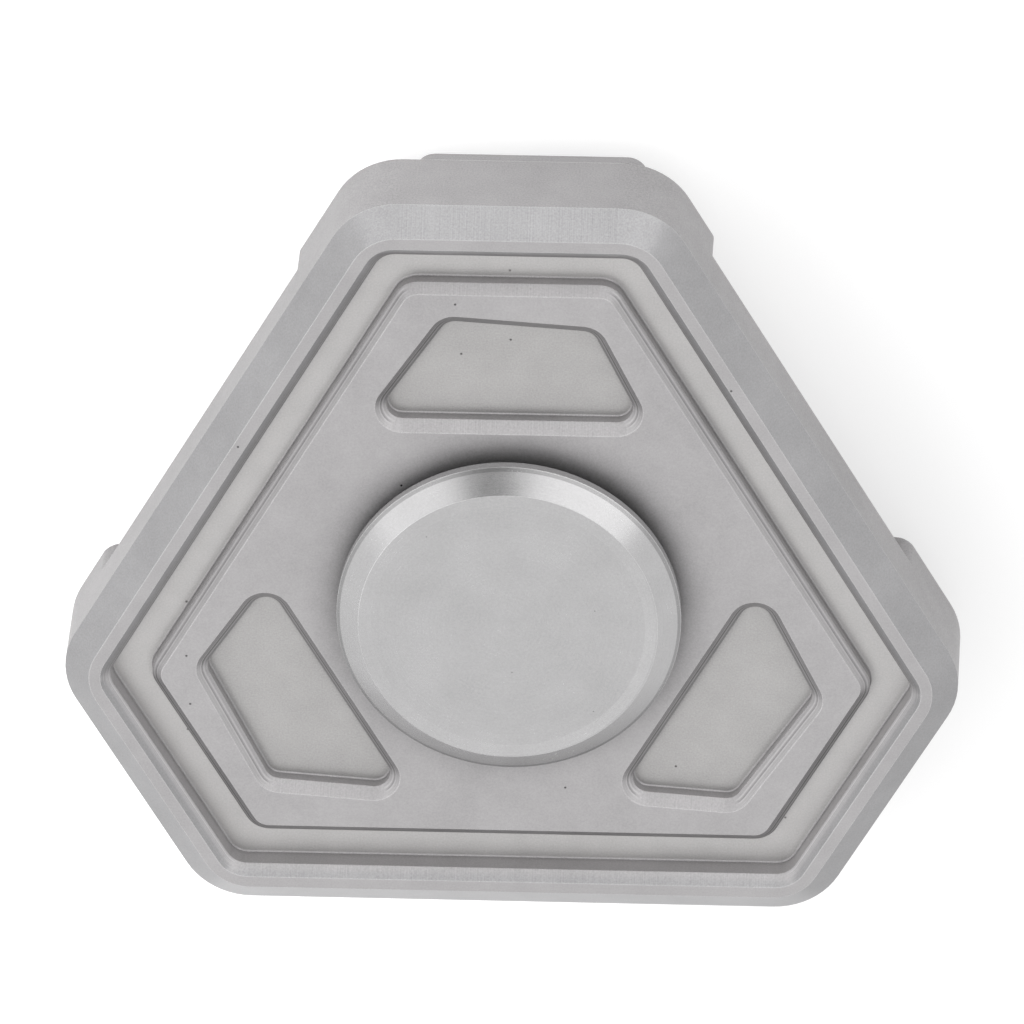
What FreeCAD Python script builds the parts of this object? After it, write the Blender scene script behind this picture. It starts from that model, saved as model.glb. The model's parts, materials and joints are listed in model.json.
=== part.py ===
"""Fidget spinner: a thick three-cornered rotor on a ball bearing, held by two thumb buttons.

Origin: centre of the back button's resting face. +Z runs up the spin axis to the front button,
+Y points at the middle of one short side. Millimetres.
"""
import FreeCAD, Part
import math
import os

import Sketcher
from FreeCAD import Placement, Rotation, Vector

Z_AXIS = Vector(0, 0, 1)
CORNERS = 3          # the rotor repeats every third of a turn
BALLS = 10

DIMENSIONS = [
    # rotor outline: six sides, given by their distance from the spin axis
    ("total_height", 13.1, "back button face to front button face"),
    ("body_height", 8.9, "back face to front rim"),
    ("long_side", 21.55, "spin axis to a long side"),
    ("short_side", 27.0, "spin axis to a short side"),
    ("corner_radius", 4.6, "outline corners"),
    ("edge_chamfer", 1.55, "front and back outer edges"),
    # front face: rim, groove and plateau
    ("groove_inset", 2.9, "outline to the groove's outer wall"),
    ("plateau_inset", 5.05, "outline to the plateau's wall"),
    ("groove_depth", 2.0, "groove and pocket floors below the rim"),
    ("plateau_drop", 0.6, "plateau below the rim"),
    ("groove_radius", 1.4, "groove's outer corners"),
    ("plateau_radius", 1.6, "plateau's corners"),
    ("rim_chamfer", 0.62, "rim's inner edge"),
    ("plateau_chamfer", 0.58, "plateau's edge"),
    # the three blind pockets, turned a little in the same sense
    ("pocket_chamfer", 0.65, "pocket's edge"),
    ("pocket_inner", 12.5, "spin axis to the inner wall"),
    ("pocket_outer", 19.0, "spin axis to the outer wall"),
    ("pocket_outer_turn", 86.2, "direction the outer wall faces, degrees"),
    ("pocket_right", 12.7, "spin axis to the right wall"),
    ("pocket_right_turn", 25.8, "direction the right wall faces, degrees"),
    ("pocket_left", 13.95, "spin axis to the left wall"),
    ("pocket_left_turn", 145.8, "direction the left wall faces, degrees"),
    ("pocket_radius", 1.0, "pocket corners"),
    ("floor_fillet", 0.12, "foot of the groove and pocket walls"),
    # finger notches in the back half of the long sides
    ("notch_height", 4.0, "up from the back face"),
    ("notch_depth", 1.6, "in from the long side"),
    ("notch_half", 11.7, "half the notch's length"),
    ("notch_shift", 0.9, "notch off the middle of the side"),
    ("notch_radius", 0.7, "notch corners, and the rounded lips of its mouth"),
    ("notch_lip", 0.01, "mouth of the notch, out from the long side"),
    # bars let into the back edge of the short sides
    ("bar_half", 7.05, "half a bar's length"),
    ("bar_shift", 1.05, "bar off the middle of the side"),
    ("bar_width", 5.0, "in from the short side"),
    ("bar_height", 1.55, "thickness of a bar"),
    ("bar_radius", 1.25, "bar corners"),
    ("bar_chamfer", 0.75, "bar's back edges"),
    ("bar_gap", 0.04, "bar to its slot"),
    ("seat_gap", 0.02, "other fixed pieces to their seats"),
    ("overcut", 1.0, "cuts that run out past a face"),
    ("screw_radius", 1.0, "bar screw shank"),
    ("screw_head_radius", 1.7, "bar screw head"),
    ("screw_length", 4.5, "under the back face"),
    ("screw_hole_gap", 0.1, "screw to the hole in its bar"),
    ("tap_run_out", 0.5, "tapped hole past the screw's end"),
    ("screw_socket_radius", 0.75, "hexagon socket, across corners"),
    ("screw_socket_depth", 0.6, "hexagon socket"),
    # ball bearing, 1/4 x 1/2 x 3/16 inch
    ("bearing_bore", 3.175, "inner race bore radius"),
    ("bearing_outer", 6.35, "outer race radius"),
    ("bearing_half", 2.381, "half the bearing's width"),
    ("ball_pitch", 4.7625, "radius of the ball circle"),
    ("ball_radius", 1.0, "balls"),
    ("groove_play", 0.03, "ball to race groove"),
    ("inner_land", 4.05, "inner race outside radius"),
    ("outer_land", 5.45, "outer race inside radius"),
    ("shield_seat", 1.35, "mid-plane to the shield's step"),
    ("shield_seat_radius", 5.75, "step that holds the shield"),
    ("shield_bore", 4.25, "shield inside radius"),
    ("shield_thickness", 0.25, "shields"),
    ("clip_slot_radius", 5.95, "snap ring slot in the outer race"),
    ("clip_slot_start", 1.62, "mid-plane to the snap ring slot"),
    ("clip_slot_width", 0.3, "snap ring slot"),
    ("clip_bore", 5.3, "snap ring inside radius"),
    ("clip_sweep", 330.0, "snap ring arc, degrees"),
    ("cage_inner", 4.3, "cage inside radius"),
    ("cage_outer", 5.2, "cage outside radius"),
    ("cage_half", 1.22, "half the cage's width"),
    ("cage_play", 0.06, "ball to cage pocket"),
    # seat for the bearing in the rotor
    ("lip_radius", 5.6, "front opening"),
    ("ring_radius", 7.0, "threaded bore for the lock ring"),
    ("ring_bore", 5.3, "lock ring inside radius"),
    ("ring_height", 1.2, "lock ring"),
    ("ring_hole_radius", 0.35, "lock ring spanner holes"),
    ("back_recess_radius", 12.0, "recess behind the back button"),
    ("back_recess_depth", 0.6, "recess behind the back button"),
    # hub: buttons, spacers and stud
    ("button_radius", 10.5, "buttons"),
    ("button_face_radius", 9.12, "flat face inside the bevel"),
    ("button_bevel", 1.1, "height of the bevel"),
    ("button_side", 0.74, "height of the straight side"),
    ("dish_radius", 9.0, "rim of the shallow dish in the front face"),
    ("dish_slope", 0.65, "width of the dish's sloping edge"),
    ("dish_depth", 0.06, "dish"),
    ("edge_break", 0.15, "small broken edges"),
    ("boss_radius", 4.0, "boss under a button"),
    ("spacer_height", 0.6, "spacer washers"),
    ("spacer_radius", 3.95, "spacer washers"),
    ("spigot_radius", 3.165, "button spigot in the bearing bore"),
    ("spigot_half", 0.5, "mid-plane to the spigot's end"),
    ("stud_radius", 1.95, "stud"),
    ("stud_half", 4.6, "half the stud's length"),
    ("thread_radius", 2.0, "tapped hole in each button"),
    ("thread_half", 5.0, "mid-plane to the end of the tapped hole"),
]

doc = FreeCAD.newDocument("fidget_spinner")
sheet = doc.addObject("Spreadsheet::Sheet", "Sheet")
for row, (alias, size, note) in enumerate(DIMENSIONS, start=1):
    sheet.set(f"A{row}", alias)
    sheet.set(f"B{row}", str(size))
    sheet.setAlias(f"B{row}", alias)
    sheet.set(f"C{row}", note)
doc.recompute()

# heights along the spin axis, as formulas on the sheet
MID = "Sheet.total_height / 2"
FRONT = "(Sheet.total_height + Sheet.body_height) / 2"
BACK = "(Sheet.total_height - Sheet.body_height) / 2"
SCREW_REACH = "(Sheet.short_side - Sheet.bar_width / 2)"
COUNTERSINK = "(Sheet.screw_head_radius - Sheet.screw_radius - Sheet.screw_hole_gap)"


def size_of(formula):
    """The number that a formula on the sheet gives."""
    return float(sheet.evalExpression(formula))


def new_body(label):
    body = doc.addObject("PartDesign::Body", label)
    body.Label = label
    return body


def new_sketch(body, name, role, height="0"):
    """A sketch on one of the body's origin planes, raised along the plane's normal."""
    sketch = body.newObject("Sketcher::SketchObject", name)
    plane = next(f for f in body.Origin.OriginFeatures if f.Role == role)
    sketch.AttachmentSupport = (plane, [""])
    sketch.MapMode = "FlatFace"
    sketch.setExpression("AttachmentOffset.Base.z", height)
    return sketch


def dimension(sketch, constraint, formula):
    """Add a constraint and bind its size to the sheet."""
    index = sketch.addConstraint(constraint)
    sketch.setExpression(f"Constraints[{index}]", formula)


def crossing(first, second):
    """Where two lines meet, each given by the direction and distance of its foot from the axis."""
    (turn_1, reach_1), (turn_2, reach_2) = first, second
    turn_1 = math.radians(turn_1)
    turn_2 = math.radians(turn_2)
    spread = math.sin(turn_2 - turn_1)
    x = (reach_1 * math.sin(turn_2) - reach_2 * math.sin(turn_1)) / spread
    y = (reach_2 * math.cos(turn_1) - reach_1 * math.cos(turn_2)) / spread
    return Vector(x, y, 0)


def rounded_outline(sketch, sides, radius):
    """A closed counter-clockwise outline of straight sides with round corners, which may turn
    either way.

    Each side is (turn, reach): the direction from the axis to the nearest point of its line, in
    degrees, and the distance to it. Both are formulas, and so is the corner radius.
    """
    count = len(sides)
    lines = [(size_of(turn), size_of(reach)) for turn, reach in sides]
    corners = [crossing(lines[i], lines[(i + 1) % count]) for i in range(count)]
    ways = [(corners[i] - corners[i - 1]).normalize() for i in range(count)]
    bend = size_of(radius)
    cuts = [bend * math.tan(ways[i].getAngle(ways[(i + 1) % count]) / 2) for i in range(count)]
    for i in range(count):
        start = corners[i - 1] + ways[i] * cuts[i - 1]
        end = corners[i] - ways[i] * cuts[i]
        sketch.addGeometry(Part.LineSegment(start, end), False)
    for i in range(count):
        arc = count + i
        following = (i + 1) % count
        left = 1 if ways[i].cross(ways[following]).z > 0 else -1
        centre = corners[i] - ways[i] * cuts[i] + Z_AXIS.cross(ways[i]) * bend * left
        first = math.atan2(ways[i].y, ways[i].x) - left * math.pi / 2
        last = first + left * ways[i].getAngle(ways[following])
        circle = Part.Circle(centre, Z_AXIS, bend)
        sketch.addGeometry(Part.ArcOfCircle(circle, min(first, last), max(first, last)), False)
        arc_start, arc_end = (1, 2) if left > 0 else (2, 1)
        sketch.addConstraint(Sketcher.Constraint("Tangent", i, 2, arc, arc_start))
        sketch.addConstraint(Sketcher.Constraint("Tangent", arc, arc_end, following, 1))
        if i:
            sketch.addConstraint(Sketcher.Constraint("Equal", count, arc))
    dimension(sketch, Sketcher.Constraint("Radius", count, bend), radius)
    for i, (turn, reach) in enumerate(sides):
        dimension(sketch, Sketcher.Constraint("Distance", -1, 1, i, lines[i][1]), reach)
        heading = math.atan2(ways[i].y, ways[i].x)
        quarter = round((math.degrees(heading) - lines[i][0]) / 90) * 90
        dimension(sketch, Sketcher.Constraint("Angle", i, heading), f"({turn} + {quarter}) * 1 deg")


def profile(sketch, points):
    """A closed polygon whose corners are (radius, height) formulas."""
    places = [Vector(size_of(radius), size_of(height), 0) for radius, height in points]
    count = len(points)
    for i in range(count):
        sketch.addGeometry(Part.LineSegment(places[i], places[(i + 1) % count]), False)
    for i in range(count):
        sketch.addConstraint(Sketcher.Constraint("Coincident", i, 2, (i + 1) % count, 1))
    for i, (radius, height) in enumerate(points):
        across = Sketcher.Constraint("DistanceX", -1, 1, i, 1, places[i].x)
        upward = Sketcher.Constraint("DistanceY", -1, 1, i, 1, places[i].y)
        dimension(sketch, across, radius)
        dimension(sketch, upward, height)


def turned(label, points, sweep="360"):
    """A piece turned about the spin axis."""
    body = new_body(label)
    sketch = new_sketch(body, label + "_profile", "XZ_Plane")
    profile(sketch, points)
    turn = body.newObject("PartDesign::Revolution", label + "_turn")
    turn.Profile = sketch
    turn.ReferenceAxis = (sketch, ["V_Axis"])
    turn.setExpression("Angle", sweep)
    return body


def flipped(body):
    """Turn a piece over about the mid-plane, so that its front faces the back."""
    body.Placement = Placement(Vector(0, 0, 0), Rotation(Vector(1, 0, 0), 180))
    body.setExpression("Placement.Base.z", "Sheet.total_height")
    return body


def pocket(body, sketch, depth, upward=False):
    cut = body.newObject("PartDesign::Pocket", sketch.Name + "_cut")
    cut.Profile = sketch
    cut.Reversed = upward
    cut.setExpression("Length", depth)
    return cut


def repeat(body, feature, count=CORNERS):
    """Repeat a cut evenly round the spin axis."""
    doc.recompute()
    pattern = body.newObject("PartDesign::PolarPattern", feature.Name + "_pattern")
    pattern.Originals = [feature]
    axis = next(f for f in body.Origin.OriginFeatures if f.Role == "Z_Axis")
    pattern.Axis = (axis, [""])
    pattern.Angle = 360
    pattern.Occurrences = count
    body.Tip = pattern
    return pattern


def level_faces(shape, height):
    return [f for f in shape.Faces
            if f.BoundBox.ZLength < 1e-6 and abs(f.BoundBox.ZMin - height) < 1e-6]


def loop_edges(body, height, pick):
    """Names of the edges round the level faces at a height, in the loops that pick() accepts."""
    shape = body.Tip.Shape
    edges = []
    for face in level_faces(shape, size_of(height)):
        for wire in face.Wires:
            if pick(wire, wire.isSame(face.OuterWire)):
                edges += wire.Edges
    return [f"Edge{i}" for i, e in enumerate(shape.Edges, start=1) if any(e.isSame(o) for o in edges)]


def chamfer(body, height, pick, size, name):
    doc.recompute()
    base = (body.Tip, loop_edges(body, height, pick))
    cut = body.newObject("PartDesign::Chamfer", name)
    cut.Base = base
    cut.setExpression("Size", size)


def fillet(body, height, pick, radius, name):
    doc.recompute()
    base = (body.Tip, loop_edges(body, height, pick))
    round_foot = body.newObject("PartDesign::Fillet", name)
    round_foot.Base = base
    round_foot.setExpression("Radius", radius)


def outer_loop(wire, is_outer):
    return is_outer


def inner_loop(wire, is_outer):
    return not is_outer


def pocket_loop(wire, is_outer):
    return not is_outer and len(wire.Edges) > 2


def any_loop(wire, is_outer):
    return True


def rotor_sides(inset):
    """The six sides of the rotor's outline, moved in by a formula."""
    sides = []
    for corner in range(CORNERS):
        sides.append((f"{30 + 120 * corner}", f"Sheet.long_side - {inset}"))
        sides.append((f"{90 + 120 * corner}", f"Sheet.short_side - {inset}"))
    return sides


def bar_sides(gap, outer):
    """A bar's outline at the short side that faces +Y, grown by a gap on its inner walls."""
    half = f"Sheet.bar_half + {gap}"
    return [
        ("0", f"{half} + Sheet.bar_shift"),
        ("90", outer),
        ("180", f"{half} - Sheet.bar_shift"),
        ("90", f"Sheet.short_side - Sheet.bar_width - {gap}"),
    ]


def make_spinner_body():
    body = new_body("spinner_body")
    outline = new_sketch(body, "outline", "XY_Plane", BACK)
    rounded_outline(outline, rotor_sides("0"), "Sheet.corner_radius")
    block = body.newObject("PartDesign::Pad", "block")
    block.Profile = outline
    block.setExpression("Length", "Sheet.body_height")
    chamfer(body, FRONT, outer_loop, "Sheet.edge_chamfer", "front_chamfer")
    chamfer(body, BACK, outer_loop, "Sheet.edge_chamfer", "back_chamfer")

    inside = new_sketch(body, "inside", "XY_Plane", FRONT)
    rounded_outline(inside, rotor_sides("Sheet.groove_inset"), "Sheet.groove_radius")
    pocket(body, inside, "Sheet.plateau_drop")
    groove = new_sketch(body, "groove", "XY_Plane", FRONT)
    rounded_outline(groove, rotor_sides("Sheet.groove_inset"), "Sheet.groove_radius")
    island = new_sketch(body, "island", "XY_Plane", FRONT + " - Sheet.groove_depth")
    rounded_outline(island, rotor_sides("Sheet.plateau_inset"), "Sheet.plateau_radius")
    pocket(body, groove, "Sheet.groove_depth")
    plateau = body.newObject("PartDesign::Pad", "plateau")
    plateau.Profile = island
    plateau.setExpression("Length", "Sheet.groove_depth - Sheet.plateau_drop")

    seat = new_sketch(body, "seat", "XZ_Plane")
    recess_top = BACK + " + Sheet.back_recess_depth"
    profile(seat, [
        ("0", BACK + " - Sheet.overcut"),
        ("Sheet.back_recess_radius", BACK + " - Sheet.overcut"),
        ("Sheet.back_recess_radius", recess_top),
        ("Sheet.ring_radius", recess_top),
        ("Sheet.ring_radius", MID + " - Sheet.bearing_half"),
        ("Sheet.bearing_outer", MID + " - Sheet.bearing_half"),
        ("Sheet.bearing_outer", MID + " + Sheet.bearing_half"),
        ("Sheet.lip_radius", MID + " + Sheet.bearing_half"),
        ("Sheet.lip_radius", FRONT),
        ("0", FRONT),
    ])
    bore = body.newObject("PartDesign::Groove", "bore")
    bore.Profile = seat
    bore.ReferenceAxis = (seat, ["V_Axis"])
    bore.Angle = 360

    blind = new_sketch(body, "blind", "XY_Plane", FRONT + " - Sheet.plateau_drop")
    rounded_outline(blind, [
        ("Sheet.pocket_right_turn", "Sheet.pocket_right"),
        ("Sheet.pocket_outer_turn", "Sheet.pocket_outer"),
        ("Sheet.pocket_left_turn", "Sheet.pocket_left"),
        ("90", "Sheet.pocket_inner"),
    ], "Sheet.pocket_radius")
    repeat(body, pocket(body, blind, "Sheet.groove_depth - Sheet.plateau_drop"))

    notch = new_sketch(body, "notch", "XY_Plane", BACK)
    flare = "3 * Sheet.notch_radius"
    rounded_outline(notch, [
        ("0", f"Sheet.notch_half + Sheet.notch_shift + {flare}"),
        ("270", "Sheet.long_side + Sheet.notch_lip"),
        ("0", "Sheet.notch_half + Sheet.notch_shift"),
        ("270", "Sheet.long_side - Sheet.notch_depth"),
        ("180", "Sheet.notch_half - Sheet.notch_shift"),
        ("270", "Sheet.long_side + Sheet.notch_lip"),
        ("180", f"Sheet.notch_half - Sheet.notch_shift + {flare}"),
        ("270", f"Sheet.long_side + {flare}"),
    ], "Sheet.notch_radius")
    repeat(body, pocket(body, notch, "Sheet.notch_height", upward=True))

    slot = new_sketch(body, "slot", "XY_Plane", BACK)
    beyond = "Sheet.short_side + 2 * Sheet.bar_radius"
    rounded_outline(slot, bar_sides("Sheet.bar_gap", beyond), "Sheet.bar_radius")
    repeat(body, pocket(body, slot, "Sheet.bar_height", upward=True))

    tapped = new_sketch(body, "tapped", "XY_Plane", BACK)
    screw_circle(tapped, "Sheet.screw_radius")
    repeat(body, pocket(body, tapped, "Sheet.screw_length + Sheet.tap_run_out", upward=True))

    fillet(body, FRONT + " - Sheet.groove_depth", any_loop, "Sheet.floor_fillet", "floor_feet")
    chamfer(body, FRONT, inner_loop, "Sheet.rim_chamfer", "rim_inner_chamfer")
    plateau_height = FRONT + " - Sheet.plateau_drop"
    chamfer(body, plateau_height, outer_loop, "Sheet.plateau_chamfer", "plateau_edge")
    chamfer(body, plateau_height, pocket_loop, "Sheet.pocket_chamfer", "pocket_edges")
    return body


def screw_circle(sketch, radius):
    """A circle on the middle of the bar that faces +Y."""
    centre = Vector(size_of("Sheet.bar_shift"), size_of(SCREW_REACH), 0)
    sketch.addGeometry(Part.Circle(centre, Z_AXIS, size_of(radius)), False)
    across = Sketcher.Constraint("DistanceX", -1, 1, 0, 3, centre.x)
    upward = Sketcher.Constraint("DistanceY", -1, 1, 0, 3, centre.y)
    dimension(sketch, across, "Sheet.bar_shift")
    dimension(sketch, upward, SCREW_REACH)
    dimension(sketch, Sketcher.Constraint("Radius", 0, size_of(radius)), radius)


def make_edge_bar(number):
    """A bar let into the back edge of a short side, flush with the side."""
    body = new_body(f"edge_bar_{number}")
    outline = new_sketch(body, f"bar_outline_{number}", "XY_Plane", BACK)
    rounded_outline(outline, bar_sides("0", "Sheet.short_side"), "Sheet.bar_radius")
    bar = body.newObject("PartDesign::Pad", f"bar_{number}")
    bar.Profile = outline
    bar.setExpression("Length", "Sheet.bar_height")
    chamfer(body, BACK, outer_loop, "Sheet.bar_chamfer", f"bar_edges_{number}")
    hole = new_sketch(body, f"bar_hole_{number}", "XY_Plane", BACK)
    screw_circle(hole, "Sheet.screw_radius + Sheet.screw_hole_gap")
    pocket(body, hole, "Sheet.bar_height", upward=True)
    chamfer(body, BACK, inner_loop, COUNTERSINK, f"countersink_{number}")
    body.Placement = Placement(Vector(0, 0, 0), Rotation(Z_AXIS, 120 * (number - 1)))
    return body


def make_bar_screws():
    """The three countersunk screws that hold the bars, with hexagon sockets."""
    screws = []
    for corner in range(CORNERS):
        label = f"screw_{corner + 1}"
        shank = doc.addObject("Part::Cylinder", label + "_shank")
        shank.setExpression("Radius", "Sheet.screw_radius - Sheet.seat_gap")
        shank.setExpression("Height", "Sheet.screw_length")
        head = doc.addObject("Part::Cone", label + "_head")
        head.setExpression("Radius1", "Sheet.screw_head_radius - Sheet.seat_gap")
        head.setExpression("Radius2", f"Sheet.screw_head_radius - Sheet.seat_gap - {COUNTERSINK}")
        head.setExpression("Height", COUNTERSINK)
        socket = doc.addObject("Part::Prism", label + "_socket")
        socket.Polygon = 6
        socket.setExpression("Circumradius", "Sheet.screw_socket_radius")
        socket.setExpression("Height", "Sheet.screw_socket_depth")
        solid = doc.addObject("Part::Fuse", label + "_blank")
        solid.Base = shank
        solid.Tool = head
        screw = doc.addObject("Part::Cut", label)
        screw.Base = solid
        screw.Tool = socket
        turn = f"({120 * corner} deg)"
        across = f"Sheet.bar_shift * cos{turn} - {SCREW_REACH} * sin{turn}"
        upward = f"Sheet.bar_shift * sin{turn} + {SCREW_REACH} * cos{turn}"
        screw.setExpression("Placement.Base.x", across)
        screw.setExpression("Placement.Base.y", upward)
        screw.setExpression("Placement.Base.z", BACK)
        screws.append(screw)
    group = doc.addObject("Part::Compound", "bar_screws")
    group.Links = screws
    return group


def make_button(label, dished):
    """A thumb button: bevelled face, boss, and a spigot in the bearing. A dish is shallow."""
    top = "Sheet.total_height"
    under = f"{top} - Sheet.button_bevel - Sheet.button_side"
    shoulder = MID + " + Sheet.bearing_half + Sheet.spacer_height"
    brk = "Sheet.edge_break"
    dish = [
        ("Sheet.dish_radius", top),
        ("Sheet.dish_radius - Sheet.dish_slope", f"{top} - Sheet.dish_depth"),
        ("0", f"{top} - Sheet.dish_depth"),
    ]
    face = dish if dished else [("0", top)]
    return turned(label, [
        ("Sheet.thread_radius", MID + " + Sheet.spigot_half"),
        ("Sheet.spigot_radius", MID + " + Sheet.spigot_half"),
        ("Sheet.spigot_radius", shoulder),
        ("Sheet.boss_radius", shoulder),
        ("Sheet.boss_radius", under),
        (f"Sheet.button_radius - {brk}", under),
        ("Sheet.button_radius", f"{under} + {brk}"),
        ("Sheet.button_radius", f"{top} - Sheet.button_bevel"),
        ("Sheet.button_face_radius", top),
        *face,
        ("0", MID + " + Sheet.thread_half"),
        ("Sheet.thread_radius", MID + " + Sheet.thread_half"),
    ])


def make_stud():
    """The threaded stud that pulls the two buttons together."""
    brk = "2 * Sheet.edge_break"
    return turned("axle_stud", [
        ("0", MID + " - Sheet.stud_half"),
        (f"Sheet.stud_radius - {brk}", MID + " - Sheet.stud_half"),
        ("Sheet.stud_radius", MID + f" - Sheet.stud_half + {brk}"),
        ("Sheet.stud_radius", MID + f" + Sheet.stud_half - {brk}"),
        (f"Sheet.stud_radius - {brk}", MID + " + Sheet.stud_half"),
        ("0", MID + " + Sheet.stud_half"),
    ])


def make_ring(label, inner, outer, low, high, sweep="360"):
    """A plain ring between two radii and two heights."""
    return turned(label, [(inner, low), (outer, low), (outer, high), (inner, high)], sweep)


def with_ball_track(label, blank):
    """Cut the round ball track into a race."""
    track = doc.addObject("Part::Torus", label + "_track")
    track.setExpression("Radius1", "Sheet.ball_pitch")
    track.setExpression("Radius2", "Sheet.ball_radius + Sheet.groove_play")
    track.setExpression("Placement.Base.z", MID)
    race = doc.addObject("Part::Cut", label)
    race.Base = blank
    race.Tool = track
    return race


def make_inner_race():
    brk = "Sheet.edge_break"
    low = MID + " - Sheet.bearing_half"
    high = MID + " + Sheet.bearing_half"
    blank = turned("inner_blank", [
        (f"Sheet.bearing_bore + {brk}", low),
        ("Sheet.inner_land", low),
        ("Sheet.inner_land", high),
        (f"Sheet.bearing_bore + {brk}", high),
        ("Sheet.bearing_bore", f"{high} - {brk}"),
        ("Sheet.bearing_bore", f"{low} + {brk}"),
    ])
    return with_ball_track("bearing_inner_race", blank)


def make_outer_race():
    """The outer race, with a step for the shield and a slot for its snap ring on each side."""
    brk = "Sheet.edge_break"
    side = [
        ("Sheet.outer_land", "Sheet.shield_seat"),
        ("Sheet.shield_seat_radius", "Sheet.shield_seat"),
        ("Sheet.shield_seat_radius", "Sheet.clip_slot_start"),
        ("Sheet.clip_slot_radius", "Sheet.clip_slot_start"),
        ("Sheet.clip_slot_radius", "Sheet.clip_slot_start + Sheet.clip_slot_width"),
        ("Sheet.shield_seat_radius", "Sheet.clip_slot_start + Sheet.clip_slot_width"),
        ("Sheet.shield_seat_radius", "Sheet.bearing_half"),
        (f"Sheet.bearing_outer - {brk}", "Sheet.bearing_half"),
        ("Sheet.bearing_outer", f"Sheet.bearing_half - {brk}"),
    ]
    front = [(radius, f"{MID} + {height}") for radius, height in side]
    back = [(radius, f"{MID} - ({height})") for radius, height in side]
    blank = turned("outer_blank", back + front[::-1])
    return with_ball_track("bearing_outer_race", blank)


def make_shield(label):
    low = MID + " + Sheet.shield_seat"
    high = low + " + Sheet.shield_thickness"
    return make_ring(label, "Sheet.shield_bore", "Sheet.shield_seat_radius - Sheet.seat_gap", low, high)


def make_clip(label):
    """An open snap ring that holds a shield in the outer race."""
    low = MID + " + Sheet.clip_slot_start + Sheet.seat_gap / 2"
    high = low + " + Sheet.clip_slot_width - Sheet.seat_gap"
    outer = "Sheet.clip_slot_radius - Sheet.seat_gap"
    return make_ring(label, "Sheet.clip_bore", outer, low, high, "Sheet.clip_sweep")


def ball_at(number, label, radius):
    """A ball on the ball circle; number 0 lies on +X."""
    turn = 360 / BALLS * number
    ball = doc.addObject("Part::Sphere", label)
    ball.setExpression("Radius", radius)
    ball.setExpression("Placement.Base.x", f"Sheet.ball_pitch * cos({turn} deg)")
    ball.setExpression("Placement.Base.y", f"Sheet.ball_pitch * sin({turn} deg)")
    ball.setExpression("Placement.Base.z", MID)
    return ball


def cage_bore(number):
    """A round hole through the cage, along the radius that a ball lies on."""
    turn = 360 / BALLS * number
    bore = doc.addObject("Part::Cylinder", f"cage_bore_{number + 1:02d}")
    bore.setExpression("Radius", "Sheet.ball_radius + Sheet.cage_play")
    bore.setExpression("Height", "2 * Sheet.ball_pitch")
    bore.Placement.Rotation = Rotation(Z_AXIS, turn) * Rotation(Vector(0, 1, 0), 90)
    bore.setExpression("Placement.Base.z", MID)
    return bore


def make_cage():
    """A ring with a round hole for every ball."""
    low = MID + " - Sheet.cage_half"
    high = MID + " + Sheet.cage_half"
    ring = make_ring("cage_ring", "Sheet.cage_inner", "Sheet.cage_outer", low, high)
    bores = doc.addObject("Part::Compound", "cage_bores")
    bores.Links = [cage_bore(number) for number in range(BALLS)]
    cage = doc.addObject("Part::Cut", "ball_cage")
    cage.Base = ring
    cage.Tool = bores
    return cage


def make_lock_ring():
    """The threaded ring that clamps the outer race, with four spanner holes."""
    high = MID + " - Sheet.bearing_half"
    low = high + " - Sheet.ring_height"
    outer = "Sheet.ring_radius - Sheet.seat_gap"
    ring = make_ring("bearing_lock_ring", "Sheet.ring_bore", outer, low, high)
    doc.recompute()
    sketch = new_sketch(ring, "spanner_hole", "XY_Plane", low)
    place = "(Sheet.ring_bore + Sheet.ring_radius) / 2"
    centre = Vector(size_of(place), 0, 0)
    hole_radius = size_of("Sheet.ring_hole_radius")
    sketch.addGeometry(Part.Circle(centre, Z_AXIS, hole_radius), False)
    sketch.addConstraint(Sketcher.Constraint("PointOnObject", 0, 3, -1))
    dimension(sketch, Sketcher.Constraint("DistanceX", -1, 1, 0, 3, centre.x), place)
    dimension(sketch, Sketcher.Constraint("Radius", 0, hole_radius), "Sheet.ring_hole_radius")
    repeat(ring, pocket(ring, sketch, "Sheet.ring_height", upward=True), count=4)
    return ring


def make_spacer(label):
    low = MID + " + Sheet.bearing_half"
    high = low + " + Sheet.spacer_height"
    return make_ring(label, "Sheet.bearing_bore + Sheet.seat_gap", "Sheet.spacer_radius", low, high)


def check(objects):
    """Stop if any object failed to recompute or any piece has a bad shape."""
    for item in doc.Objects:
        if {"Invalid", "Error"} & set(item.State):
            raise RuntimeError(f"{item.Name} failed: {item.State}")
    for item in objects:
        if item.Shape.isNull() or not item.Shape.isValid() or not item.Shape.Solids:
            raise RuntimeError(f"{item.Label} has no valid solid")


pieces = [make_spinner_body()]
pieces += [make_edge_bar(number) for number in range(1, CORNERS + 1)]
pieces += [
    make_bar_screws(),
    make_lock_ring(),
    make_outer_race(),
    make_shield("front_shield"),
    flipped(make_shield("back_shield")),
    make_clip("front_shield_clip"),
    flipped(make_clip("back_shield_clip")),
    make_cage(),
]
pieces += [ball_at(n, f"ball_{n + 1:02d}", "Sheet.ball_radius") for n in range(BALLS)]
pieces += [
    make_inner_race(),
    make_spacer("front_spacer"),
    flipped(make_spacer("back_spacer")),
    make_button("front_button", dished=True),
    flipped(make_button("back_button", dished=False)),
    make_stud(),
]
doc.recompute()
check(pieces)

os.makedirs("parts", exist_ok=True)
for piece in pieces:
    piece.Shape.exportStep(f"parts/{piece.Label}.step")
    box = piece.Shape.BoundBox
    print(f"{piece.Label:20s} {piece.Shape.Volume:9.2f} mm3  z {box.ZMin:.3f} to {box.ZMax:.3f}"
          f"  solids {len(piece.Shape.Solids)}")
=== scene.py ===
"""Looks for the fidget spinner: machined metal materials, a pale floor, soft light and a camera."""

import json
import math

import bpy
from mathutils import Matrix, Vector


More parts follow.
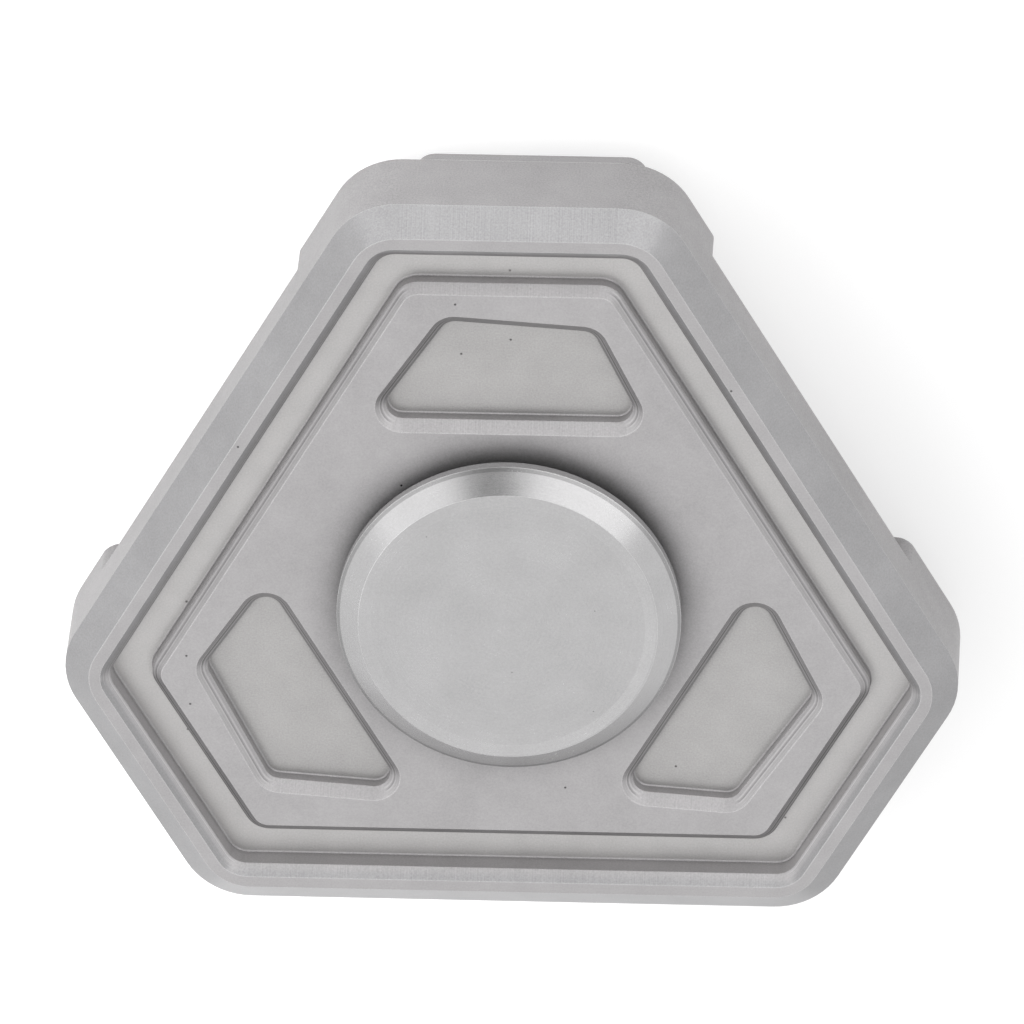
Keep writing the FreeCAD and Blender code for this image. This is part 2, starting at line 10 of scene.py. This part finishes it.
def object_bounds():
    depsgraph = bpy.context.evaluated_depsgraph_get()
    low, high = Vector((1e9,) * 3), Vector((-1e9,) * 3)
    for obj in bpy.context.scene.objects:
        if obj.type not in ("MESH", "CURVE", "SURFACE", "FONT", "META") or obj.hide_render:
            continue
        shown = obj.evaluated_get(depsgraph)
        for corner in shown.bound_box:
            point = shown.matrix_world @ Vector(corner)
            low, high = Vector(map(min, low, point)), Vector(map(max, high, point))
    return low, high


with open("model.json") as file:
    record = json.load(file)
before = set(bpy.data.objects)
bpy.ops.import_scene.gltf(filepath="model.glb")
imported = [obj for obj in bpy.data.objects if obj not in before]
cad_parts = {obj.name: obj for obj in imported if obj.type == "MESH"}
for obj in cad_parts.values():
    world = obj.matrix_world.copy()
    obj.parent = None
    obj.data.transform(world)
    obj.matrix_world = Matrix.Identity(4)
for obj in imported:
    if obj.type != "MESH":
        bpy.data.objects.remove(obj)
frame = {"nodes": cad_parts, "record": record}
cad_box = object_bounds()
NODES = frame["nodes"]
MM = 1000.0

# Camera: above the short side that faces +Y, with that side at the top of the picture.
# Distances are in metres and angles in degrees, with azimuth from +X towards +Y.
AIM = Vector((0.00018, 0.00683, 0.0110))
CAMERA_DISTANCE = 0.90935
CAMERA_AZIMUTH = 84.79
CAMERA_ELEVATION = 60.56
CAMERA_ROLL = 1.16
CAMERA_LENS = 527.3
CAMERA_SENSOR = 36.0

# Surroundings: an even white, with one dim patch that shows in the top of the button's bevel.
WORLD_STRENGTH = 1.24
DIM_AZIMUTH = 102
DIM_ELEVATION = 36
DIM_CORE = 10
DIM_RIM = 21
DIMMING = 0.86

# Floor: its grey falls from left to right between two places, in metres, as painted shade on its right
# side.
FLOOR_GAP = 0.00002
FLOOR_SIZE = 4.0
FLOOR_LEFT, FLOOR_LEFT_GREY = -0.02, 0.74
FLOOR_RIGHT, FLOOR_RIGHT_SHADED_GREY = 0.03, 0.42
FLOOR_GLOW = 0.51

# Soft boxes: name, azimuth, elevation, size and power.
LIGHT_DISTANCE = 0.9
SOFT_BOXES = [
    ("left_box", 140, 33, (0.86, 0.30), 0.66),
    ("right_box", 57, 35, (1.20, 0.30), 1.50),
    ("high_box", 190, 52, (0.70, 0.70), 1.60),
]

# Matt metals keep a little plain reflection; floors are warmer and outer chamfers cooler.
MATT_METALLIC = 0.75
NO_SHIFT = (1.0, 1.0, 1.0)
WARM_FLOOR = (1.0, 1.005, 0.985)
COOL_RIM = (0.985, 1.0, 1.004)

# The rotor's outline, seen from the front: directions of its six sides, and their distances in mm.
LONG_SIDE = -MM * cad_box[0][1]
SHORT_SIDE = MM * cad_box[1][1]
OUTLINE_SIDES = [(30 + 60 * k, LONG_SIDE if k % 2 == 0 else SHORT_SIDE) for k in range(6)]


def direction(azimuth, elevation):
    """The unit vector towards an azimuth and an elevation, in degrees."""
    azimuth, elevation = math.radians(azimuth), math.radians(elevation)
    level = math.cos(elevation)
    return Vector((level * math.cos(azimuth), level * math.sin(azimuth), math.sin(elevation)))


def tint(colour, shift=NO_SHIFT):
    """A colour with each part multiplied by its part of shift, and full alpha."""
    return (*(part * share for part, share in zip(colour, shift)), 1.0)


class Nodes:
    """Short calls for the shader nodes used here. A value can be a number or another node's output."""

    def __init__(self, tree):
        self.tree = tree

    def node(self, kind, **settings):
        node = self.tree.nodes.new(kind)
        for key, value in settings.items():
            setattr(node, key, value)
        return node

    def link(self, source, target):
        if hasattr(source, "is_output"):
            self.tree.links.new(source, target)
        else:
            target.default_value = source

    def outputs(self, kind, source):
        """The outputs of a new node that takes one input."""
        node = self.node(kind)
        self.link(source, node.inputs[0])
        return node.outputs

    def place(self, name):
        return self.node("ShaderNodeTexCoord").outputs[name]

    def math(self, operation, first, second=0.0, third=0.0):
        node = self.node("ShaderNodeMath", operation=operation)
        for value, socket in zip((first, second, third), node.inputs):
            self.link(value, socket)
        return node.outputs[0]

    def vector(self, operation, first, second=None, scale=None):
        node = self.node("ShaderNodeVectorMath", operation=operation)
        self.link(first, node.inputs[0])
        if second is not None:
            self.link(second, node.inputs[1])
        if scale is not None:
            node.inputs["Scale"].default_value = scale
        return node.outputs["Value" if operation in ("DOT_PRODUCT", "LENGTH") else "Vector"]

    def split(self, vector):
        return self.outputs("ShaderNodeSeparateXYZ", vector)

    def step(self, value, low, high):
        """Zero at low, one at high and smooth between; low can be above high."""
        node = self.node("ShaderNodeMapRange", interpolation_type="SMOOTHSTEP")
        self.link(value, node.inputs["Value"])
        node.inputs["From Min"].default_value = low
        node.inputs["From Max"].default_value = high
        return node.outputs["Result"]

    def band(self, value, low, high, fade=0.04):
        """One between low and high, zero outside, with a soft step."""
        rise = self.step(value, low, low + fade)
        fall = self.step(value, high - fade, high)
        return self.math("SUBTRACT", rise, fall)

    def both(self, *masks):
        """The product of masks."""
        result = masks[0]
        for mask in masks[1:]:
            result = self.math("MULTIPLY", result, mask)
        return result

    def without(self, mask, part):
        return self.math("SUBTRACT", mask, part)

    def total(self, *terms):
        """The sum of (value, weight) pairs."""
        result = 0.0
        for value, weight in terms:
            result = self.math("MULTIPLY_ADD", value, weight, result)
        return result

    def blend(self, share, first, second):
        """A colour that goes from first to second as share goes from zero to one."""
        node = self.node("ShaderNodeMix", data_type="RGBA")
        self.link(share, node.inputs["Factor"])
        colour_inputs = [socket for socket in node.inputs if socket.type == "RGBA"]
        for colour, socket in zip((first, second), colour_inputs):
            self.link(colour, socket)
        return next(socket for socket in node.outputs if socket.type == "RGBA")


class Metal(Nodes):
    """A metal's node tree, with its patterns. Lengths in the patterns are in millimetres."""

    def __init__(self, name):
        self.material = bpy.data.materials.new(name)
        self.material.use_nodes = True
        super().__init__(self.material.node_tree)
        self.tree.nodes.clear()
        self.shader = self.node("ShaderNodeBsdfPrincipled")
        output = self.node("ShaderNodeOutputMaterial")
        self.link(self.shader.outputs["BSDF"], output.inputs["Surface"])
        self.normal = self.place("Normal")
        self.position = self.vector("SCALE", self.place("Object"), scale=MM)

    def radius(self):
        """Distance from the spin axis."""
        return self.vector("LENGTH", self.vector("MULTIPLY", self.position, (1.0, 1.0, 0.0)))

    def tilt(self):
        """One where a face is level, zero where it is upright."""
        return self.math("ABSOLUTE", self.split(self.normal)["Z"])

    def inset_from_outline(self):
        """Distance in from the rotor's outline, seen from the front."""
        inset = 100.0
        for turn, reach in OUTLINE_SIDES:
            side = self.vector("DOT_PRODUCT", self.position, direction(turn, 0))
            inset = self.math("MINIMUM", self.math("SUBTRACT", reach, side), inset)
        return inset

    def noise(self, scale, detail=2.0, roughness=0.5, vector=None):
        """Noise centred on zero, about half a unit each way, with scale features per millimetre."""
        node = self.node("ShaderNodeTexNoise")
        self.link(self.position if vector is None else vector, node.inputs["Vector"])
        node.inputs["Scale"].default_value = scale
        node.inputs["Detail"].default_value = detail
        node.inputs["Roughness"].default_value = roughness
        return self.math("SUBTRACT", node.outputs["Fac"], 0.5)

    def lines(self, along, scale, detail=3.0):
        """Fine parallel lines: noise that changes only with one coordinate."""
        node = self.node("ShaderNodeTexNoise", noise_dimensions="1D")
        self.link(along, node.inputs["W"])
        node.inputs["Scale"].default_value = scale
        node.inputs["Detail"].default_value = detail
        node.inputs["Roughness"].default_value = 0.7
        return self.math("SUBTRACT", node.outputs["Fac"], 0.5)

    def specks(self, per_mm, radius, share):
        """Sparse round specks seen from above: one in the middle of each, zero elsewhere."""
        cells = self.node("ShaderNodeTexVoronoi", voronoi_dimensions="2D")
        self.link(self.position, cells.inputs["Vector"])
        cells.inputs["Scale"].default_value = per_mm
        chance = self.outputs("ShaderNodeSeparateColor", cells.outputs["Color"])[0]
        chosen = self.math("LESS_THAN", chance, share)
        near = self.step(cells.outputs["Distance"], radius * per_mm, radius * per_mm * 0.4)
        return self.both(near, chosen)

    def edges(self, radius):
        """A mask of sharp edges, and the normal with those edges rounded."""
        bevel = self.node("ShaderNodeBevel", samples=4)
        bevel.inputs["Radius"].default_value = radius / MM
        true_normal = self.node("ShaderNodeNewGeometry").outputs["Normal"]
        same = self.vector("DOT_PRODUCT", bevel.outputs["Normal"], true_normal)
        return self.step(self.math("SUBTRACT", 1.0, same), 0.0, 0.12), bevel.outputs["Normal"]

    def occlusion(self, reach):
        """Near one deep in corners and under overhangs, zero in the open."""
        node = self.node("ShaderNodeAmbientOcclusion", samples=6)
        node.inputs["Distance"].default_value = reach / MM
        return self.math("SUBTRACT", 1.0, node.outputs["AO"])

    def finish(self, colour, shade, roughness, height, depth, soft_normal, metallic=1.0):
        """Set the shader: colour varied by shade, roughness, and a bump of height times depth."""
        varied = self.node("ShaderNodeHueSaturation")
        self.link(colour, varied.inputs["Color"])
        self.link(self.math("ADD", 1.0, shade), varied.inputs["Value"])
        self.link(varied.outputs["Color"], self.shader.inputs["Base Color"])
        self.link(roughness, self.shader.inputs["Roughness"])
        bump = self.node("ShaderNodeBump")
        bump.inputs["Distance"].default_value = depth / MM
        self.link(height, bump.inputs["Height"])
        self.link(soft_normal, bump.inputs["Normal"])
        self.link(bump.outputs["Normal"], self.shader.inputs["Normal"])
        self.shader.inputs["Metallic"].default_value = metallic
        return self.material


def milled_metal(name, colour, roughness=0.5):
    """Fine matt milled metal: cutter marks on the chamfers, mottled flat faces, painted highlights on
    edges, and painted light and shade on walls, chamfers and floors.
    """
    g = Metal(name)
    height = g.split(g.position)["Z"]
    inset = g.inset_from_outline()
    tilt = g.tilt()
    facing = g.split(g.normal)["Y"]

    # where: flat faces, upright walls, and chamfers on the outer rim or inside it
    flat = g.step(tilt, 0.95, 0.99)
    upright = g.step(tilt, 0.25, 0.05)
    chamfer = g.band(tilt, 0.25, 0.97)
    rim = g.both(chamfer, g.step(inset, 2.8, 2.4))
    inside = g.without(chamfer, rim)
    # painted shade: inner chamfers that face -Y are darker
    shaded_far_wall = g.both(inside, g.step(facing, 0.10, -0.35))
    # painted light: upright walls inside the rim are lighter
    lit_inner_wall = g.both(upright, g.step(inset, 2.4, 2.8))
    # painted light: the low floors are lighter, the grooves most, against the shade in these recesses
    low_floor = g.both(g.band(height, 8.85, 9.1), flat)
    lit_groove_floor = g.both(low_floor, g.band(inset, 2.7, 5.25))

    # cutter marks: strokes across the chamfers along X, lines along the others
    edge_way = g.vector("NORMALIZE", g.vector("CROSS_PRODUCT", g.normal, (0.0, 0.0, 1.0)))
    along = g.vector("DOT_PRODUCT", g.position, edge_way)
    level = g.step(g.math("ABSOLUTE", g.split(edge_way)["X"]), 0.70, 0.95)
    stroked = g.both(chamfer, level, g.step(facing, -0.1, 0.2))
    strokes = g.both(g.lines(along, 11.0), stroked)
    slanted = g.both(inside, g.without(1.0, level))
    contours = g.both(g.lines(height, 9.0), slanted)
    # painted light: level chamfers facing +Y are lighter, most on the outer rim; painted shade: the
    # outer rim's slanted chamfers are darker
    painted_light_lip = g.both(stroked, inside)
    level_rim = g.both(rim, level)
    painted_shade_side_rim = g.without(rim, level_rim)
    painted_light_rim = g.both(rim, stroked)

    # surface texture
    mottle = g.noise(0.22, detail=4.0)
    cloud = g.noise(0.8, detail=3.0)
    grain = g.noise(9.0, detail=3.0, roughness=0.7)
    coarse = g.both(grain, g.total((upright, 1.0), (stroked, 1.0), (low_floor, 0.5)))
    pits = g.both(g.specks(0.30, 0.10, 0.14), flat)

    # edges and corners: painted highlights on open edges, painted shade on edges in corners
    edge, soft_normal = g.edges(0.075)
    # painted shade: darker in corners and under overhangs
    occlusion = g.occlusion(0.5)
    lit_edge = g.both(edge, g.step(occlusion, 0.30, 0.10))
    shaded_edge = g.without(edge, lit_edge)
    # painted shadow on the body round the button
    button_shadow = g.both(g.occlusion(2.5), g.step(g.radius(), 14.0, 11.0))

    # shade: the surface's own marks, plus painted highlights, painted shade and a painted shadow;
    # inner chamfers are painted lighter and upright walls painted darker
    shade = g.total(
        (mottle, 0.24), (cloud, 0.12), (grain, 0.42), (coarse, 0.40), (strokes, 0.50),
        (contours, 1.50), (painted_light_lip, 0.10), (pits, -0.75), (lit_edge, 0.70), (shaded_edge, -0.25),
        (occlusion, -0.40), (button_shadow, -0.70), (low_floor, 0.05), (lit_groove_floor, 0.22),
        (level_rim, 0.03), (painted_light_rim, 0.09), (painted_shade_side_rim, -0.14), (inside, 0.14),
        (shaded_far_wall, -0.42), (upright, -0.06), (lit_inner_wall, 0.36))
    rough = g.total((mottle, 0.10), (grain, 0.10), (strokes, 0.15), (edge, -0.08), (roughness, 1.0))
    relief = g.total((grain, 0.5), (strokes, 1.0), (contours, 0.6), (pits, -2.0))
    tinted = g.blend(rim, tint(colour), tint(colour, COOL_RIM))
    tinted = g.blend(low_floor, tinted, tint(colour, WARM_FLOOR))
    return g.finish(tinted, shade, rough, relief, 0.008, soft_normal, metallic=MATT_METALLIC)


def turned_metal(name, colour, roughness=0.25):
    """Lathe-turned metal: fine rings round the spin axis, with a satin sheen, painted highlights on
    its edges, side and dish ring, and a painted shade line near its rim.
    """
    g = Metal(name)
    radius = g.radius()
    # painted light on upright sides, a painted highlight ring at the dish's edge and a painted shade
    # line near the outer edge
    side = g.step(g.tilt(), 0.4, 0.2)
    lit_dish_ring = g.band(radius, 8.3, 9.1)
    shaded_outer_line = g.band(radius, 10.26, 10.48)
    rings = g.lines(radius, 7.0)
    mottle = g.noise(0.3, detail=4.0)
    grain = g.noise(8.0, detail=3.0, roughness=0.7)
    pits = g.specks(0.40, 0.06, 0.12)
    # painted highlight on edges
    edge, soft_normal = g.edges(0.06)
    shade = g.total(
        (mottle, 0.22), (grain, 0.26), (rings, 0.06), (pits, -0.45), (edge, 0.50),
        (side, 0.30), (lit_dish_ring, 0.03), (shaded_outer_line, -0.35))
    rough = g.total((mottle, 0.08), (grain, 0.06), (rings, 0.05), (roughness, 1.0))
    relief = g.total((grain, 0.25), (rings, 0.4), (pits, -1.5))
    return g.finish(tint(colour), shade, rough, relief, 0.003, soft_normal, metallic=MATT_METALLIC)


def ground_metal(name, colour, roughness=0.16):
    """Ground and polished bearing steel, with faint scratches."""
    g = Metal(name)
    mottle = g.noise(0.6, detail=3.0)
    stretched = g.vector("MULTIPLY", g.position, (0.2, 1.0, 3.0))
    scratches = g.noise(5.0, detail=4.0, roughness=0.8, vector=stretched)
    edge, soft_normal = g.edges(0.06)
    # faint painted highlight on edges
    shade = g.total((mottle, 0.05), (scratches, 0.08), (edge, 0.10))
    rough = g.total((mottle, 0.06), (scratches, 0.10), (roughness, 1.0))
    return g.finish(tint(colour), shade, rough, scratches, 0.002, soft_normal)


def dress_nodes():
    """Give each CAD node the material of its slot in the record."""
    materials = {
        "body_metal": milled_metal("milled_body", (0.349, 0.3405, 0.3445)),
        "bar_metal": milled_metal("milled_bar", (0.335, 0.327, 0.331)),
        "button_metal": turned_metal("turned_button", (0.386, 0.383, 0.385)),
        "screw_steel": turned_metal("turned_steel", (0.36, 0.36, 0.37), roughness=0.30),
        "shield_steel": turned_metal("pressed_steel", (0.52, 0.52, 0.53), roughness=0.26),
        "cage_metal": turned_metal("turned_brass", (0.62, 0.44, 0.20), roughness=0.30),
        "bearing_steel": ground_metal("ground_steel", (0.60, 0.60, 0.61)),
    }
    for part in frame["record"]["subparts"]:
        piece = NODES[part["node"]]
        for slot in piece.material_slots:
            slot.material = materials[part["material_slot"]]


def make_floor():
    """A pale floor with a faint glow, which keeps the shadow on it light."""
    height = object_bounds()[0][2] - FLOOR_GAP
    bpy.ops.mesh.primitive_plane_add(size=FLOOR_SIZE, location=(0, 0, height))
    floor = bpy.context.object
    floor.name = "floor"
    material = bpy.data.materials.new("pale_floor")
    material.use_nodes = True
    g = Nodes(material.node_tree)
    # painted shade: the floor is darker towards the right
    fade = g.step(g.split(g.place("Object"))["X"], FLOOR_LEFT, FLOOR_RIGHT)
    grey = g.math("MULTIPLY_ADD", fade, FLOOR_RIGHT_SHADED_GREY - FLOOR_LEFT_GREY, FLOOR_LEFT_GREY)
    shader = material.node_tree.nodes["Principled BSDF"]
    g.link(grey, shader.inputs["Base Color"])
    shader.inputs["Roughness"].default_value = 0.9
    shader.inputs["Specular IOR Level"].default_value = 0.1
    shader.inputs["Emission Color"].default_value = tint(NO_SHIFT)
    shader.inputs["Emission Strength"].default_value = FLOOR_GLOW
    floor.data.materials.append(material)


def make_light(name, azimuth, elevation, size, power):
    """A soft box that faces the object."""
    lamp = bpy.data.lights.new(name, "AREA")
    lamp.shape = "RECTANGLE"
    lamp.size, lamp.size_y = size
    lamp.energy = power
    light = bpy.data.objects.new(name, lamp)
    way = direction(azimuth, elevation)
    light.location = AIM + way * LIGHT_DISTANCE
    light.rotation_euler = way.to_track_quat("Z", "Y").to_euler()
    bpy.context.scene.collection.objects.link(light)


def make_world():
    """Soft white surroundings with one dimmer patch."""
    world = bpy.data.worlds.new("soft_white")
    world.use_nodes = True
    g = Nodes(world.node_tree)
    closeness = g.vector("DOT_PRODUCT", g.place("Generated"), direction(DIM_AZIMUTH, DIM_ELEVATION))
    rim, core = math.cos(math.radians(DIM_RIM)), math.cos(math.radians(DIM_CORE))
    patch = g.step(closeness, rim, core)
    strength = g.math("MULTIPLY_ADD", patch, -DIMMING * WORLD_STRENGTH, WORLD_STRENGTH)
    sky = world.node_tree.nodes["Background"]
    sky.inputs["Color"].default_value = tint(NO_SHIFT)
    g.link(strength, sky.inputs["Strength"])
    bpy.context.scene.world = world


def make_camera():
    """A long lens; the picture's right is nearly +X, and up is over the side that faces +Y."""
    back = direction(CAMERA_AZIMUTH, CAMERA_ELEVATION)
    right = (Vector((1, 0, 0)) - back * back.x).normalized()
    right = Matrix.Rotation(math.radians(CAMERA_ROLL), 3, back) @ right
    up = back.cross(right)
    camera = bpy.data.objects.new("camera", bpy.data.cameras.new("camera"))
    camera.matrix_world = Matrix((right, up, back)).transposed().to_4x4()
    camera.location = AIM + back * CAMERA_DISTANCE
    camera.data.lens = CAMERA_LENS
    camera.data.sensor_width = CAMERA_SENSOR
    camera.data.clip_start = 0.05
    camera.data.clip_end = 20.0
    bpy.context.scene.collection.objects.link(camera)
    bpy.context.scene.camera = camera


dress_nodes()
make_floor()
make_world()
for box in SOFT_BOXES:
    make_light(*box)
make_camera()
bpy.context.scene.view_settings.view_transform = "Standard"
